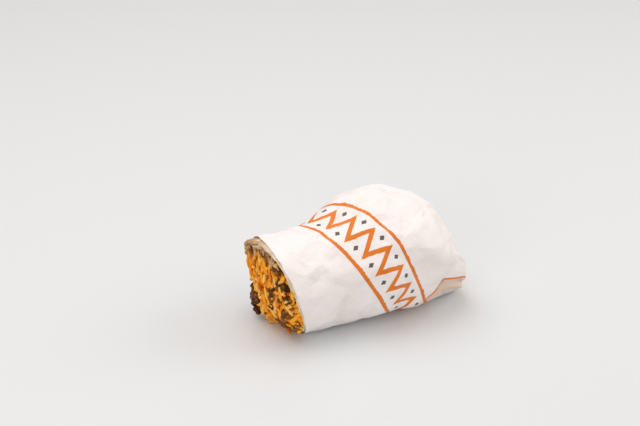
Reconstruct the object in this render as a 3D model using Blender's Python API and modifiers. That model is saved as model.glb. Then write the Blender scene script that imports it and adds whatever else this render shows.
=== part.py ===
"""Half of a paper-wrapped burrito, lying on its side with the cut end towards -X.

Run with: blender --background --python part.py
Units are metres, +Z is up, and the flat underside stands on Z = 0.
"""

import math
import random

import bmesh
import bpy
from mathutils import Euler, Vector, noise

MM = 0.001

# Driving dimensions of the wrapped roll. X runs along it, from near the foot of the cut.
CUT_HEIGHT = 57 * MM
BODY_HEIGHT = 69.5 * MM
CUT_WIDTH = 57 * MM
BODY_WIDTH = 71 * MM
SWELL_START = 25 * MM
SWELL_END = 54 * MM
EARLY_SWELL = 0.2
END_START = 66 * MM
ROLL_LENGTH = 110 * MM
END_ROUNDNESS = 2.2
SECTION_SQUARENESS = 2.19
SAG = 0.9 * MM

# The knife's plane: it leans out at the top, and reaches a little further on the +Y side.
CUT_FOOT = 6 * MM
CUT_LEAN = math.radians(14)
CUT_SKEW = math.radians(1.5)

# Walls, from the outside in.
PAPER_THICKNESS = 0.6 * MM
PAPER_GAP = 0.5 * MM
GAP = 0.4 * MM
TORTILLA_THICKNESS = 2.4 * MM
TORTILLA_LAP = 1.8 * MM
TORTILLA_FOLDS = 5 * MM
LAP_CENTRE = math.radians(60)
LAP_REACH = math.radians(50)

# The filling's front: where it stands at the middle of the cut, its slopes, dome and bumps, and a
# hollow low on the far side, with its middle and its reach in Y and Z.
FRONT_X = -6.5 * MM
FRONT_SLOPE_Y = -0.18
FRONT_SLOPE_Z = -0.05
FRONT_DOME = 2.5 * MM
HOLLOW_DEPTH = 3.6 * MM
HOLLOW_MIDDLE = (22 * MM, 19 * MM)
HOLLOW_REACH = (7 * MM, 9 * MM)
FRONT_BUMP = 1.2 * MM
BUMP_PITCH = 9 * MM

# Rings of the lofts: angles in each, where they stand in mm, and how many follow the cut's slope.
ANGLES = 32
STATIONS = (0, 8, 17, 26, 35, 45, 55, 66, 75, 84, 93, 100, 105, 108.4)
SLANTED = 5
FRONT_RINGS = 7

# Chunks on the cut face: name, place (depth behind the front, y, z), size and turn, in mm and degrees.
MEAT_CHUNKS = (
    ("meat_far_top", (2.5, 12, 42), (9, 6.5, 6.5), (120, 20, 70)),
    ("meat_top", (2, 1.2, 46.2), (9.5, 6.5, 6), (0, 15, 80)),
    ("meat_near_top", (1.5, -10, 43.6), (9, 7, 6.5), (20, 10, 60)),
    ("meat_near_upper", (1.5, -17, 37), (9.5, 6.5, 6.5), (80, 0, 20)),
    ("meat_near_side", (1.5, -19.2, 28.6), (10, 5.5, 6.5), (70, 10, 10)),
    ("meat_near_lower", (1.5, -18, 19.5), (11, 7, 7), (60, 20, 0)),
    ("meat_near_foot", (1.5, -11.2, 10.6), (10.5, 7.5, 6.5), (10, 30, 30)),
    ("meat_centre", (2, -7.5, 28.5), (11, 7, 7), (50, 20, 10)),
    ("meat_far_foot", (2, 14.5, 14.5), (12, 9, 9), (40, 0, 30)),
    ("meat_foot", (1, 3.6, 8.8), (10, 7.5, 6.5), (0, 20, 100)),
)
ONION_CUBES = (
    ("onion_near", (0.8, -8.2, 37), (5, 4.5, 4.5), (50, 10, 40)),
    ("onion_low", (0.8, -6.5, 19), (5.5, 4.5, 4.5), (20, 30, 10)),
    ("onion_far", (1, 8.5, 23), (6, 5, 4.5), (10, 40, 70)),
)

COLOURS = {
    "paper": ((0.86, 0.83, 0.81), 0.55),
    "tortilla": ((0.78, 0.68, 0.46), 0.6),
    "filling": ((0.78, 0.36, 0.06), 0.45),
    "meat": ((0.17, 0.08, 0.04), 0.5),
    "onion": ((0.85, 0.85, 0.72), 0.3),
}


def smooth_step(value, low, high):
    """0 below low, 1 above high, with a smooth rise between."""
    share = min(max((value - low) / (high - low), 0.0), 1.0)
    return share * share * (3 - 2 * share)


def taper(x, power, inset):
    """Share of the body's size left at station x as its end rounds off, 1 to 0."""
    share = min(max((x - END_START) / (ROLL_LENGTH - inset - END_START), 0.0), 1.0)
    return (1 - share**power) ** (1 / power)


def signed_power(value, power):
    return math.copysign(abs(value) ** power, value)


def wall_point(x, angle, inset=0.0):
    """The point at station x and angle (0 at +Y, 90 degrees at the top), inset from the paper's outside."""
    late = smooth_step(x, SWELL_START, SWELL_END)
    swell = late + EARLY_SWELL * (smooth_step(x, 0, SWELL_END) - late)
    height = CUT_HEIGHT + (BODY_HEIGHT - CUT_HEIGHT) * swell
    width = CUT_WIDTH + (BODY_WIDTH - CUT_WIDTH) * swell
    low = taper(x, END_ROUNDNESS, inset)
    wide = taper(x, 1.5 * END_ROUNDNESS, inset)
    half_height = (height / 2 - inset) * low
    half_width = (width / 2 - inset) * wide
    bend = 2 / SECTION_SQUARENESS
    y = half_width * signed_power(math.cos(angle), bend)
    z = half_height + inset + half_height * signed_power(math.sin(angle), bend) - SAG
    return Vector((x, y, max(z, inset)))


def knife_x(point):
    """Where the knife's plane stands at this Y and Z."""
    return CUT_FOOT - math.tan(CUT_LEAN) * point.z - math.tan(CUT_SKEW) * point.y


def front_x(point):
    """Where the filling's domed front stands at this Y and Z."""
    inset = filling_inset(0, math.pi)
    across = abs(point.y) / (CUT_WIDTH / 2 - inset)
    up = abs(point.z - CUT_HEIGHT / 2 + SAG) / (CUT_HEIGHT / 2 - inset)
    out = min((across**SECTION_SQUARENESS + up**SECTION_SQUARENESS) ** (1 / SECTION_SQUARENESS), 1)
    slope = FRONT_SLOPE_Y * point.y + FRONT_SLOPE_Z * (point.z - CUT_HEIGHT / 2)
    away = [(at - middle) / reach for at, middle, reach in zip(point.yz, HOLLOW_MIDDLE, HOLLOW_REACH)]
    hollow = HOLLOW_DEPTH * math.exp(-sum(share**2 for share in away))
    return FRONT_X + slope - FRONT_DOME * (1 - out**3) + hollow


def angles():
    return [2 * math.pi * i / ANGLES for i in range(ANGLES)]


def long_rings(inset_at, start_at):
    """Rings from the cut to the closed end: inset_at(x, angle) and start_at(point, angle)."""
    rings = []
    for k, station in enumerate(STATIONS):
        ring = []
        for angle in angles():
            inset = inset_at(station * MM, angle)
            start = start_at(wall_point(0, angle, inset), angle)
            x = station * MM + start * max(0, 1 - k / SLANTED)
            if x > END_START:
                x -= inset * (x - END_START) / (ROLL_LENGTH - END_START)
            ring.append(wall_point(x, angle, inset))
        rings.append(ring)
    return rings


def end_point(inset):
    return Vector((ROLL_LENGTH - inset, 0, inset))


def lap(angle):
    """1 where the tortilla's two layers overlap, fading to 0 outside."""
    away = abs((angle - LAP_CENTRE + math.pi) % (2 * math.pi) - math.pi)
    return 1 - smooth_step(away, 0.7 * LAP_REACH, LAP_REACH)


def tortilla_outer(x, angle):
    return PAPER_THICKNESS + PAPER_GAP


def tortilla_inner(x, angle):
    folds = TORTILLA_FOLDS * smooth_step(x, END_START, ROLL_LENGTH)
    return tortilla_outer(x, angle) + TORTILLA_THICKNESS + TORTILLA_LAP * lap(angle) + folds


def tortilla_edge(point, angle):
    """The tortilla's edge stands out of the paper, most on the far upper side."""
    far = max(0.0, math.cos(angle - math.radians(30)))
    return knife_x(point) - (1.2 + 5.0 * far) * MM


def material(kind):
    found = bpy.data.materials.get(kind)
    if found:
        return found
    made = bpy.data.materials.new(kind)
    made.use_nodes = True
    colour, roughness = COLOURS[kind]
    shader = made.node_tree.nodes["Principled BSDF"]
    shader.inputs["Base Color"].default_value = (*colour, 1)
    shader.inputs["Roughness"].default_value = roughness
    shader.inputs["Metallic"].default_value = 0.0
    return made


def new_object(name, mesh, kind, collection):
    made = bpy.data.objects.new(name, mesh)
    mesh.materials.append(material(kind))
    mesh.shade_smooth()
    collection.objects.link(made)
    return made


def skin(bm, rings):
    """Quads between each ring and the next. Returns the rings' vertices."""
    made = [[bm.verts.new(point) for point in ring] for ring in rings]
    for lower, upper in zip(made, made[1:]):
        for i in range(len(lower)):
            j = (i + 1) % len(lower)
            bm.faces.new((lower[i], lower[j], upper[j], upper[i]))
    return made


def fan(bm, ring, point):
    """Triangles from a ring to one point."""
    tip = bm.verts.new(point)
    for i in range(len(ring)):
        bm.faces.new((ring[i], ring[(i + 1) % len(ring)], tip))


def finish_mesh(bm, name):
    bmesh.ops.recalc_face_normals(bm, faces=bm.faces)
    mesh = bpy.data.meshes.new(name)
    bm.to_mesh(mesh)
    bm.free()
    return mesh


def make_paper(collection):
    """The wrapper: an open bag round the roll, given its thickness inwards."""
    bm = bmesh.new()
    rings = skin(bm, long_rings(lambda x, angle: 0.0, lambda point, angle: knife_x(point)))
    fan(bm, rings[-1], end_point(0.0))
    paper = new_object("paper_wrap", finish_mesh(bm, "paper_wrap"), "paper", collection)
    wall = paper.modifiers.new("thickness", "SOLIDIFY")
    wall.thickness = PAPER_THICKNESS
    wall.offset = -1
    return paper


def make_tortilla(collection):
    """The rolled tortilla: thicker where it laps and where its end is folded in."""
    bm = bmesh.new()
    outer = skin(bm, long_rings(tortilla_outer, tortilla_edge))
    fan(bm, outer[-1], end_point(tortilla_outer(ROLL_LENGTH, 0)))
    inner = skin(bm, long_rings(tortilla_inner, tortilla_edge))
    fan(bm, inner[-1], end_point(tortilla_inner(ROLL_LENGTH, math.pi)))
    for i in range(ANGLES):
        j = (i + 1) % ANGLES
        bm.faces.new((outer[0][j], outer[0][i], inner[0][i], inner[0][j]))
    mesh = finish_mesh(bm, "tortilla")
    return new_object("tortilla", mesh, "tortilla", collection)


def filling_inset(x, angle):
    return tortilla_inner(x, angle) + GAP


def front_rings(edge):
    """Rings from the filling's edge in to the middle of its domed, uneven front."""
    middle = sum(edge, Vector()) / len(edge)
    middle.x = front_x(middle)
    rings = []
    for k in range(1, FRONT_RINGS):
        out = 1 - k / FRONT_RINGS
        ring = []
        for point in edge:
            spot = middle.lerp(point, out)
            bump = noise.noise(Vector((0, spot.y, spot.z)) / BUMP_PITCH)
            spot.x = front_x(spot) - FRONT_BUMP * bump * (1 - out**6)
            ring.append(spot)
        rings.append(ring)
    return rings, middle


def make_filling(collection):
    """Rice and cheese as one mass, from the closed end out to its heaped front."""
    bm = bmesh.new()
    sides = long_rings(filling_inset, lambda point, angle: front_x(point))
    front, middle = front_rings(sides[0])
    made = skin(bm, front[::-1] + sides)
    fan(bm, made[-1], end_point(filling_inset(ROLL_LENGTH, math.pi)))
    fan(bm, made[0], middle)
    mesh = finish_mesh(bm, "rice_and_cheese")
    return new_object("rice_and_cheese", mesh, "filling", collection)


def cage(name, size, jitter, cuts, seed, grow=0.0):
    """An uneven box: the coarse cage of one chunk. grow adds to every side."""
    draw = random.Random(seed)
    bm = bmesh.new()
    bmesh.ops.create_cube(bm, size=2)
    bmesh.ops.subdivide_edges(bm, edges=bm.edges, cuts=cuts, use_grid_fill=True)
    for vert in bm.verts:
        for axis in range(3):
            side = size[axis] * MM / 2
            vert.co[axis] = vert.co[axis] * (side + grow) + side * jitter * draw.uniform(-1, 1)
    mesh = bpy.data.meshes.new(name)
    bm.to_mesh(mesh)
    bm.free()
    return mesh


def place(piece, spot, turn):
    """Set a chunk's middle a given depth behind the filling's front."""
    middle = Vector(spot) * MM
    middle.x += front_x(middle)
    piece.location = middle
    piece.rotation_euler = Euler([math.radians(a) for a in turn])


def soften(piece):
    smooth = piece.modifiers.new("soften", "SUBSURF")
    smooth.levels = 1
    smooth.render_levels = 1


def chamfer(piece):
    edges = piece.modifiers.new("edges", "BEVEL")
    edges.width = 0.5 * MM
    edges.segments = 2


def make_chunks(kind, chunks, jitter, cuts, finish, parts, cutters, filling):
    """Each chunk is its own piece, and a slightly larger copy cuts its seat in the filling."""
    for seed, (name, spot, size, turn) in enumerate(chunks):
        piece = new_object(name, cage(name, size, jitter, cuts, seed), kind, parts)
        place(piece, spot, turn)
        finish(piece)
        seat = cage(name + "_seat", size, jitter, cuts, seed, grow=1.4 * GAP)
        cutter = new_object(name + "_seat", seat, kind, cutters)
        place(cutter, spot, turn)
        finish(cutter)
        cutter.hide_render = True
        cutter.display_type = "WIRE"
        cut = filling.modifiers.new(name, "BOOLEAN")
        cut.operation = "DIFFERENCE"
        cut.solver = "EXACT"
        cut.object = cutter


def new_collection(name):
    made = bpy.data.collections.new(name)
    bpy.context.scene.collection.children.link(made)
    return made


def lengthwise_middle(objects):
    """Middle of the whole in X and Y, from each object's finished mesh."""
    graph = bpy.context.evaluated_depsgraph_get()
    corners = []
    for piece in objects:
        ready = piece.evaluated_get(graph)
        corners += [ready.matrix_world @ vert.co for vert in ready.data.vertices]
    xs = [point.x for point in corners]
    ys = [point.y for point in corners]
    return Vector(((min(xs) + max(xs)) / 2, (min(ys) + max(ys)) / 2, 0))


def main():
    for old in list(bpy.data.objects):
        bpy.data.objects.remove(old)
    parts = new_collection("burrito_half")
    cutters = new_collection("cutters")
    make_paper(parts)
    make_tortilla(parts)
    filling = make_filling(parts)
    make_chunks("meat", MEAT_CHUNKS, 0.22, 1, soften, parts, cutters, filling)
    make_chunks("onion", ONION_CUBES, 0.1, 0, chamfer, parts, cutters, filling)
    bpy.context.view_layer.update()
    origin = bpy.data.objects.new("roll_origin", None)
    parts.objects.link(origin)
    shift = lengthwise_middle([piece for piece in parts.objects if piece.type == "MESH"])
    for piece in [*parts.objects, *cutters.objects]:
        if piece != origin:
            piece.parent = origin
    origin.location = -shift


main()
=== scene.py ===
# %% [markdown]
# # Half a burrito in printed paper
#
# A large burrito has been rolled, wrapped in printed paper and cut in two. This half lies on its
# side: its paper is folded shut at one end, and at the other the knife has opened the paper, the
# tortilla and the filling. The packed model gives the sizes and places. This lesson makes the looks:
# the creased paper with its print, the layered tortilla, and a filling of single rice grains,
# cheese shreds, browned beef and diced onion.

# %% Load the frame
import itertools
from math import cos, hypot, pi, radians, sin, tan

import bpy
import numpy as np
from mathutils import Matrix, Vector, geometry
from numpy.random import default_rng


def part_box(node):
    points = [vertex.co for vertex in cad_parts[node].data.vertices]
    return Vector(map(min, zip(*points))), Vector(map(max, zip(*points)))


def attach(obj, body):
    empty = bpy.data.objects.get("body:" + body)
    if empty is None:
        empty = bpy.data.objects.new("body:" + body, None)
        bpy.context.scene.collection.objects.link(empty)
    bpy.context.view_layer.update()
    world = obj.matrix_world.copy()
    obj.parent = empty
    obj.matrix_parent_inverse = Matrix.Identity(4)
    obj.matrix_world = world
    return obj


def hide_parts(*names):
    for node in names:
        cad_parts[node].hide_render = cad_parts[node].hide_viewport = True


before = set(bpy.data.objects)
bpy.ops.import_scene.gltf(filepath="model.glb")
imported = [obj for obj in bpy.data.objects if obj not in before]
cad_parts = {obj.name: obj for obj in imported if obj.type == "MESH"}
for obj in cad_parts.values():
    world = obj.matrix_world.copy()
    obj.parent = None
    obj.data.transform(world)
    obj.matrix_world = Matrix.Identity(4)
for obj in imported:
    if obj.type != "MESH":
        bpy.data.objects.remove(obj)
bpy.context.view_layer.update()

print("nodes:", sorted(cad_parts))

# %% [markdown]
# Everything is worked out in millimetres, with X along the roll from the foot of the cut, and only
# turned into metres when a mesh is made. The far tip of the paper says where X starts.

# %% Where the roll stands
ROLL_LENGTH = 110.0
FIRST_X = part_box("paper_wrap")[1].x * 1000 - ROLL_LENGTH
print("the foot of the cut is near X =", round(FIRST_X, 2), "mm")


def node_middle(name):
    """Middle and size of a node's box, in mm, counted as the roll is."""
    low, high = (np.array(corner) * 1000 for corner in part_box(name))
    return (low + high) / 2 - (FIRST_X, 0, 0), high - low


# %% [markdown]
# The wall of the roll is one function of two parameters: how far along, and the angle round it
# (0 is the far side, 90 degrees the top, 180 the near side). Its section is a soft square, it swells
# from the cut towards the middle, and its end rounds off. Each layer is the same wall, a little
# further in.

# %% The wall of the roll
CUT_SIZE = (57.0, 57.0)
BODY_SIZE = (71.0, 69.5)
END_START = 66.0
SQUARENESS = 2.19
PRESSED_FLAT = 0.9


def smooth(value, low, high):
    """0 below low and 1 above high: t*t*(3 - 2t), where t is the share of the way."""
    t = np.clip((value - low) / (high - low), 0, 1)
    return t * t * (3 - 2 * t)


def half_size(x):
    """Half the width and height: the cut's plus the body's surplus times a swell that comes late."""
    late = smooth(x, 25, 54)
    swell = late + 0.2 * (smooth(x, 0, 54) - late)
    return [(cut + (body - cut) * swell) / 2 for cut, body in zip(CUT_SIZE, BODY_SIZE)]


def wall(x, angle, inset=0.0):
    """Half size times a soft square's cosine and sine, times (1 - t**p)**(1/p) over the end."""
    wide, high = half_size(x)
    share = np.clip((x - END_START) / (ROLL_LENGTH - inset - END_START), 0, 1)
    wide = (wide - inset) * (1 - share**3.3) ** (1 / 3.3)
    high = (high - inset) * (1 - share**2.2) ** (1 / 2.2)
    across, up = (np.sign(c) * np.abs(c) ** (2 / SQUARENESS) for c in (np.cos(angle), np.sin(angle)))
    z = np.maximum(high * (1 + up) + inset - PRESSED_FLAT, inset)
    return np.stack(np.broadcast_arrays(x, wide * across, z), -1)


def knife(y, z):
    """X of the knife's plane: 6 at the table, leaning 14 degrees out over it, 1.5 degrees sideways."""
    return 6 - tan(radians(14)) * z - tan(radians(1.5)) * y


print("height at the cut and the middle:", wall(0.0, pi / 2)[2], wall(60.0, pi / 2)[2])

# %% [markdown]
# Nothing on food is even. One smooth random field, at many sizes, makes every lump and ragged edge.
# The shapes themselves are grids of points. Sculpting would be slower to change, so helpers turn a
# grid into a mesh, close it round, shut its ends and see that its faces point outwards.

# %% Random fields and grids
CORNERS = list(itertools.product((0, 1), repeat=3))


def lumps(points, pitch, seed):
    """A field from -1 to 1: random values on a lattice of that pitch, blended by t*t*(3 - 2t)."""
    values = default_rng(seed).uniform(-1, 1, (16, 16, 16))
    place = np.asarray(points, float) / pitch
    cell = np.floor(place).astype(int)
    t = place - cell
    t = t * t * (3 - 2 * t)
    total = 0
    for corner in CORNERS:
        weight = np.prod(np.where(corner, t, 1 - t), -1)
        i, j, k = np.moveaxis((cell + corner) % 16, -1, 0)
        total = total + weight * values[i, j, k]
    return total


def unit(vectors):
    """The vectors, each made 1 long."""
    return vectors / np.maximum(np.linalg.norm(vectors, axis=-1, keepdims=True), 1e-9)


def outward(points):
    """Unit normals of a grid that closes round its columns: the cross product of its two steps."""
    across = np.roll(points, -1, 1) - np.roll(points, 1, 1)
    normal = unit(np.cross(np.gradient(points, axis=0), across))
    away = points - points.mean(1, keepdims=True)
    return normal * np.sign((normal * away).sum(-1).mean())


def put(name, data):
    """An object of that mesh, light or camera, linked to the scene."""
    made = bpy.data.objects.new(name, data)
    bpy.context.collection.objects.link(made)
    return made


def new_mesh(name, points, faces):
    """A smooth mesh in metres from points in mm and faces of any size."""
    points = np.asarray(points, float).reshape(-1, 3) + (FIRST_X, 0, 0)
    mesh = bpy.data.meshes.new(name)
    mesh.from_pydata((points / 1000).tolist(), [], faces)
    mesh.validate()
    mesh.shade_smooth()
    return put(name, mesh)


def quads(rows, columns):
    """Corner numbers of the quads of a rows by columns grid that closes round its columns."""
    number = np.arange(rows * columns).reshape(rows, columns)
    after = np.roll(number, -1, 1)
    return np.stack((number[:-1], after[:-1], after[1:], number[1:]), -1).reshape(-1, 4)


def turned_out(points, faces):
    """True if quads point out of their solid: the sum of a.(b x c) + a.(c x d) is its volume."""
    a, b, c, d = (points.reshape(-1, 3)[k] for k in np.transpose(faces))
    return (a * np.cross(b, c) + a * np.cross(c, d)).sum() > 0


def closed_surface(name, points, *tips):
    """A grid closed round its columns, with a fan of triangles at either end to a tip: the two tips
    given, or the middles of the end rows."""
    faces = quads(*points.shape[:2])
    outwards = turned_out(points, faces)
    ring = np.arange(points.shape[1])
    after = np.roll(ring, -1)
    total = points[..., 0].size
    last = total - len(ring)
    fans = np.array(((after, ring, 0 * ring + total), (ring + last, after + last, 0 * ring + total + 1)))
    faces = faces.tolist() + fans.transpose(0, 2, 1).reshape(-1, 3).tolist()
    corners = np.concatenate((points.reshape(-1, 3), tips or (points[0].mean(0), points[-1].mean(0))))
    return new_mesh(name, corners, faces if outwards else [face[::-1] for face in faces])


def paint(piece, name, values):
    """Store one number per vertex, or one for all of them, as an attribute for the shader."""
    layer = piece.data.attributes.new(name, "FLOAT", "POINT")
    values = np.broadcast_to(np.ravel(values), len(piece.data.vertices))
    layer.data.foreach_set("value", values.astype(np.float32))


def belongs(piece, finish, slot, *nodes):
    """The piece rides on the part, takes the finish and stands for the nodes named."""
    piece.data.materials.append(finish.material)
    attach(piece, "root")
    if nodes:
        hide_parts(*nodes)
    print(piece.name, len(piece.data.polygons), "faces")


print("a field along X:", lumps([(x, 0, 0) for x in range(0, 10, 3)], 10, 1).round(2))

# %% [markdown]
# A finish is a node tree. Drawn in the node editor or written out by hand it gets long, so a small
# class wraps one socket and lets ordinary arithmetic add the Math nodes, and one method adds every
# other kind of node.

# %% Shader arithmetic
class Wire:
    """One output socket. Arithmetic on it adds Math nodes to its material."""

    def __init__(self, finish, socket):
        self.finish, self.socket = finish, socket

    def math(self, operation, *others):
        return self.finish.node("ShaderNodeMath", {"operation": operation}, self, *others)

    def __add__(self, other):
        return self.math("ADD", other)

    def __sub__(self, other):
        return self.math("SUBTRACT", other)

    def __rsub__(self, other):
        return self.math("MULTIPLY", -1.0) + other

    def __mul__(self, other):
        return self.math("MULTIPLY", other)

    def __truediv__(self, other):
        return self.math("DIVIDE", other)

    def __abs__(self):
        return self.math("ABSOLUTE")

    __radd__, __rmul__ = __add__, __mul__

    def step(self, low, high):
        """0 below low and 1 above high, with a smooth rise: a Map Range node."""
        settings = {"interpolation_type": "SMOOTHSTEP"}
        return self.finish.node("ShaderNodeMapRange", settings, self, low, high)

    def most(self, other):
        return self.math("MAXIMUM", other)


class Finish:
    """A material with one Principled shader. Constants go straight on the shader's own sockets."""

    def __init__(self, name, **constants):
        self.material = bpy.data.materials.new(name)
        self.material.use_nodes = True
        self.tree = self.material.node_tree
        self.shader = self.tree.nodes["Principled BSDF"]
        for key, value in constants.items():
            self.shader.inputs[key.replace("_", " ")].default_value = value
        self.place = self.node("ShaderNodeTexCoord", out="Object")

    def set_inputs(self, node, pairs):
        """Link each wire and write each number to its socket. None leaves a socket alone."""
        for key, value in pairs:
            if isinstance(value, Wire):
                self.tree.links.new(value.socket, node.inputs[key])
            elif value is not None:
                node.inputs[key].default_value = value

    def node(self, kind, settings=None, *values, out=0, **named):
        """Add a node: its settings, or a ramp's stops, first, then its sockets by order or by name."""
        made = self.tree.nodes.new(kind)
        for key, value in (settings or {}).items():
            if key == "stops":
                ramp = made.color_ramp
                while len(ramp.elements) < len(value):
                    ramp.elements.new(0.5)
                for stop, (place, colour) in zip(ramp.elements, value):
                    stop.position, stop.color = place, (*colour, 1)
            else:
                setattr(made, key, value)
        self.set_inputs(made, [*enumerate(values), *named.items()])
        return Wire(self, made.outputs[out])

    def noise(self, size, detail=2.0, rough=0.5):
        """Noise with lumps of that size in mm."""
        return self.node("ShaderNodeTexNoise", None, self.place, None, 1000 / size, detail, rough)

    def stored(self, name):
        """The numbers that paint() stored on the piece under that name."""
        return self.node("ShaderNodeAttribute", {"attribute_name": name}, out="Fac")

    def blend(self, share, first, second):
        """A colour between two colours: a Mix node, whose colours are its sockets 6 and 7."""
        colours = [c if isinstance(c, Wire) else (*c, 1) for c in (first, second)]
        return self.node("ShaderNodeMix", {"data_type": "RGBA"}, share, *[None] * 5, *colours, out=2)

    def surface(self, colour, rough, height, depth):
        """Join the colour, the roughness and a bump of that depth in mm to the shader."""
        bump = self.node("ShaderNodeBump", None, Height=height, Distance=depth / 1000, out="Normal")
        self.set_inputs(self.shader, [("Base Color", colour), ("Roughness", rough), ("Normal", bump)])


print("a wire has", [name for name in vars(Wire) if name[:2] != "__"], "and its arithmetic")

# %% [markdown]
# The camera looks down at the near side of the roll from a third of a right angle above the table,
# with the cut turned a little towards it. A long lens a step away keeps the roll's ends parallel.

# %% Camera, floor and light
AIM = Vector(((45 + FIRST_X) / 1000, 0, 0.030))
TURN, RISE, AWAY = radians(-26.56), radians(32), 0.8

camera = put("camera", bpy.data.cameras.new("camera"))
toward = Vector((sin(TURN) * cos(RISE), -cos(TURN) * cos(RISE), sin(RISE)))
camera.location = AIM + toward * AWAY
camera.rotation_euler = (-toward).to_track_quat("-Z", "Y").to_euler()
camera.data.lens = 78.75
camera.data.shift_x = -32.11 / 640
camera.data.shift_y = 48.98 / 640
bpy.context.scene.camera = camera


def soft_light(name, place, size, watts, colour):
    """A square area light that points at the roll."""
    made = put(name, bpy.data.lights.new(name, "AREA"))
    made.data.size, made.data.energy, made.data.color = size, watts, colour
    made.location = place
    made.rotation_euler = (Vector((0, 0, 0.03)) - made.location).to_track_quat("-Z", "Y").to_euler()


soft_light("overhead", (-0.15, 0.22, 0.9), 0.8, 4.05, (1.0, 1.0, 0.985))
soft_light("fill", (-0.75, -0.55, 0.45), 0.5, 1.6, (1.0, 0.985, 0.96))
soft_light("right", (0.8, -0.25, 0.6), 0.6, 2.6, (1.0, 0.985, 0.97))

world = bpy.data.worlds.new("studio")
bpy.context.scene.world = world
world.use_nodes = True
background = world.node_tree.nodes["Background"].inputs
background["Color"].default_value = (1.0, 0.905, 0.885, 1)
background["Strength"].default_value = 0.64
bpy.context.scene.view_settings.view_transform = "Standard"

corners = [(-3, -3, 0), (3, -3, 0), (3, 3, 0), (-3, 3, 0)]
floor_mesh = bpy.data.meshes.new("floor")
floor_mesh.from_pydata(corners, [], [(0, 1, 2, 3)])
floor = put("floor", floor_mesh)
floor_finish = Finish("pale floor", Base_Color=(0.71, 0.745, 0.755, 1), Roughness=0.5)
floor_mesh.materials.append(floor_finish.material)
print("camera", [round(c, 3) for c in camera.location])

# %% [markdown]
# Paper doesn't stretch, so a loose sheet breaks into flat panels that meet in creases. A random
# height at scattered spots, joined by flat triangles, gives just that, at two sizes. On top of it
# come the creases that this sheet got in the hand: each is a line with a sharp crown.

# %% Creases
ROUND = 35.0
GIRTH = 2 * pi * ROUND
CREASES = (
    # start and end as X and degrees, height, reach
    ((37, 152), (49, 170), 1.7, 7), ((49, 170), (60, 176), 1.2, 6), ((53, 106), (44, 152), -1.5, 4),
    ((64, 94), (50, 118), 1.3, 5), ((48, 121), (61, 133), -0.8, 4), ((50, 142), (64, 154), 1.0, 5),
    ((12, 142), (38, 153), 0.7, 7), ((70, 172), (80, 190), -1.4, 5), ((78, 132), (87, 172), 1.3, 6),
    ((80, 82), (98, 105), 1.4, 6), ((28, 80), (44, 104), -1.0, 5), ((42, 76), (56, 100), 1.2, 6),
    ((62, 128), (69, 112), 0.9, 4), ((24, 172), (40, 196), 0.6, 6), ((56, 186), (70, 204), 0.8, 6),
    ((90, 50), (104, 20), 1.3, 6), ((88, 150), (106, 162), 1.2, 5), ((66, 40), (84, 12), 1.2, 7),
    ((22, 30), (44, -4), 1.0, 7), ((92, 108), (107, 118), 1.0, 5), ((70, -8), (58, 24), -0.9, 6),
)


def panels(x, v, pitch, jitter, rise, seed):
    """Height at x and v: random heights up to rise, at the spots of an uneven lattice over the length
    and girth of the roll, joined by flat triangles."""
    draw = default_rng(seed)
    rows = int(round(GIRTH / pitch))
    at, turn = np.meshgrid(np.arange(-14, 126, pitch), np.arange(rows) * GIRTH / rows, indexing="ij")
    turn = turn + (np.arange(len(at)) % 2)[:, None] * pitch / 2
    spots = np.stack((at, turn), -1).reshape(-1, 2)
    spots = spots + draw.uniform(-jitter, jitter, spots.shape) * pitch
    heights = np.tile(draw.uniform(-rise, rise, len(spots)), 3)
    spots = [Vector(spot + (0, k * GIRTH)) for k in (-1, 0, 1) for spot in spots]
    corners, _, faces, kept, _, _ = geometry.delaunay_2d_cdt(spots, [], [], 0, 1e-6)
    origin = np.array([ids[0] for ids in kept])
    result = np.zeros_like(x)
    for face in faces:
        (ax, ay), (bx, by), (cx, cy) = (corners[k] for k in face)
        area = (bx - ax) * (cy - ay) - (cx - ax) * (by - ay)
        b = ((x - ax) * (cy - ay) - (cx - ax) * (v - ay)) / area
        c = ((bx - ax) * (v - ay) - (x - ax) * (by - ay)) / area
        inside = (b >= 0) & (c >= 0) & (b + c <= 1)
        ha, hb, hc = heights[origin[face]]
        result[inside] = (ha + b * (hb - ha) + c * (hc - ha))[inside]
    return result


def crown(x, v, start, end, height, reach):
    """Height times e**(-d/reach), where d is the distance to the crease, lower at its ends."""
    start, end = (np.array((at, radians(turn) * ROUND)) for at, turn in (start, end))
    step = end - start
    away = np.stack((x - start[0], np.mod(v - start[1] + GIRTH / 2, GIRTH) - GIRTH / 2), -1)
    share = np.clip((away @ step) / (step @ step), 0, 1)
    distance = np.linalg.norm(away - share[..., None] * step, axis=-1)
    return height * np.exp(-distance / reach) * (0.55 + 0.45 * np.sin(pi * share))


def soften(field, times):
    """Average each value with its neighbours by 1, 2, 1, along and round."""
    for _ in range(times):
        field = (np.roll(field, 1, 1) + 2 * field + np.roll(field, -1, 1)) / 4
        padded = np.pad(field, ((1, 1), (0, 0)), "edge")
        field = (padded[:-2] + 2 * padded[1:-1] + padded[2:]) / 4
    return field


print(len(CREASES), "creases on a sheet", round(GIRTH), "mm round")

# %% [markdown]
# The sheet is one grid: rows run from the cut to the folded tip, columns run round. Its own edges
# show as small steps, and a step stays crisp only where it runs along a column. So the grid starts
# at the long edge, where the sheet laps over itself on the far side, and it is sheared so that one
# column follows the free edge of each end flap.

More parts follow.
